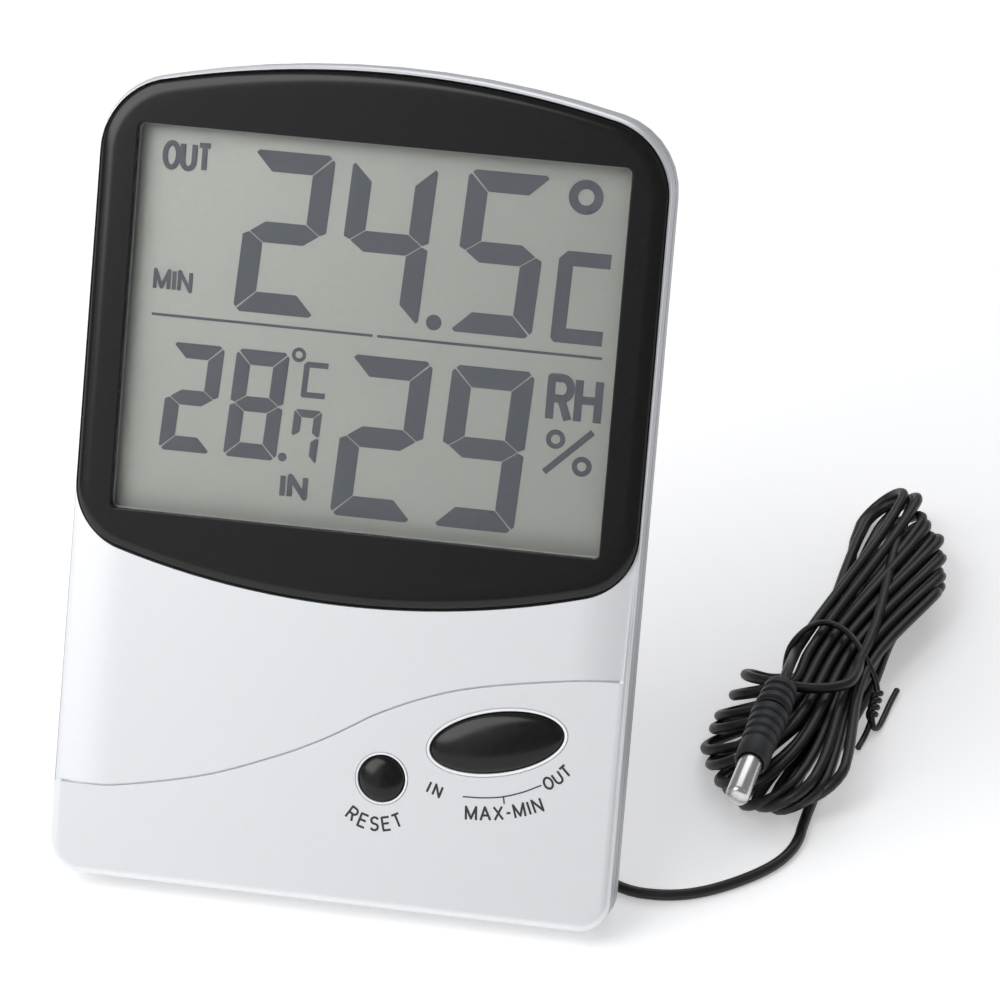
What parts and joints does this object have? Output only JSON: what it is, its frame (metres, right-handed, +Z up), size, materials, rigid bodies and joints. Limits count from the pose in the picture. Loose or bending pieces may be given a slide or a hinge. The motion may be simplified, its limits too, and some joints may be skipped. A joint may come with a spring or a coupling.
{
  "type": "maximum minimum thermometer",
  "caption": "Desk maximum minimum thermometer with a large display, a fold-out stand and a metal-tipped sensor on a tied cable.",
  "frame": {"origin": "on the table, midway along the standing case in X and Y, at the height of its base flat", "axes": "+Z up, the display faces -Y and leans back, +X to the right as seen from in front"},
  "size_m": [0.1615, 0.1622, 0.1481],
  "materials": {
    "silver_case": "satin silver",
    "gloss_black": "high gloss",
    "clear_window": "clear",
    "lcd_grey": "matt polariser",
    "white_plastic": "moulded",
    "contact_rubber": "soft",
    "board_green": "lacquered",
    "switch_black": "moulded",
    "bright_steel": "plated",
    "probe_steel": "polished stainless",
    "battery_jacket": "printed film over a steel can",
    "red_wire": "smooth",
    "cable_black": "matt",
    "sleeve_rubber": "ribbed, matt"
  },
  "bodies": {
    "case": {"front_case": "silver_case", "rear_case": "silver_case", "display_bezel": "gloss_black", "display_window": "clear_window", "lcd_panel": "lcd_grey", "lcd_frame": "white_plastic", "zebra_strip_bottom": "contact_rubber", "zebra_strip_top": "contact_rubber", "circuit_board": "board_green", "tact_switch_reset": "switch_black", "tact_switch_in": "switch_black", "tact_switch_out": "switch_black", "controller_chip": "switch_black", "clock_crystal": "bright_steel", "humidity_sensor": "white_plastic", "room_thermistor": "switch_black", "unit_switch_body": "bright_steel", "board_screw_1": "bright_steel", "board_screw_2": "bright_steel", "board_screw_3": "bright_steel", "board_screw_4": "bright_steel", "case_screw_1": "bright_steel", "case_screw_2": "bright_steel", "case_screw_3": "bright_steel", "case_screw_4": "bright_steel", "battery_left": "battery_jacket", "battery_right": "battery_jacket", "contact_spring_left": "bright_steel", "contact_spring_right": "bright_steel", "contact_bridge": "bright_steel", "contact_plate_left": "bright_steel", "contact_plate_right": "bright_steel", "battery_wire_red": "red_wire", "battery_wire_black": "cable_black", "lead_inside": "cable_black", "cable_grommet": "cable_black", "sensor_cable": "cable_black", "cable_hank": "cable_black", "twist_tie": "cable_black", "probe_lead": "cable_black", "probe_sleeve": "sleeve_rubber", "probe_tube": "probe_steel"},
    "stand": {"kickstand": "silver_case"},
    "door": {"battery_door": "silver_case"},
    "reset": {"reset_button": "gloss_black"},
    "selector": {"selector_button": "gloss_black"},
    "unit_knob": {"unit_switch_knob": "gloss_black"}
  },
  "joints": [
    {"name": "kickstand_hinge", "type": "hinge", "parent": "case", "child": "stand", "pos_m": [0, 0.00569, 0.06356], "axis": [1, 0, 0], "range_deg": [-44.4, 0]},
    {"name": "battery_door_hinge", "type": "hinge", "parent": "case", "child": "door", "pos_m": [-0.0347, -0.01918, 0.00926], "axis": [-1, 0, 0], "range_deg": [0, 60]},
    {"name": "reset_press", "type": "slide", "parent": "case", "child": "reset", "axis": [0, 0.8988, -0.4384], "range_m": [0, 0.0008], "stiffness_N_per_m": 200},
    {"name": "selector_rock", "type": "hinge", "parent": "case", "child": "selector", "pos_m": [0.0309, -0.02448, 0.03455], "axis": [-0.2351, 0.4261, 0.8736], "range_deg": [-3, 3], "stiffness_Nm_per_rad": 0.03},
    {"name": "unit_switch_slide", "type": "slide", "parent": "case", "child": "unit_knob", "axis": [1, 0, 0], "range_m": [0, 0.002]}
  ]
}
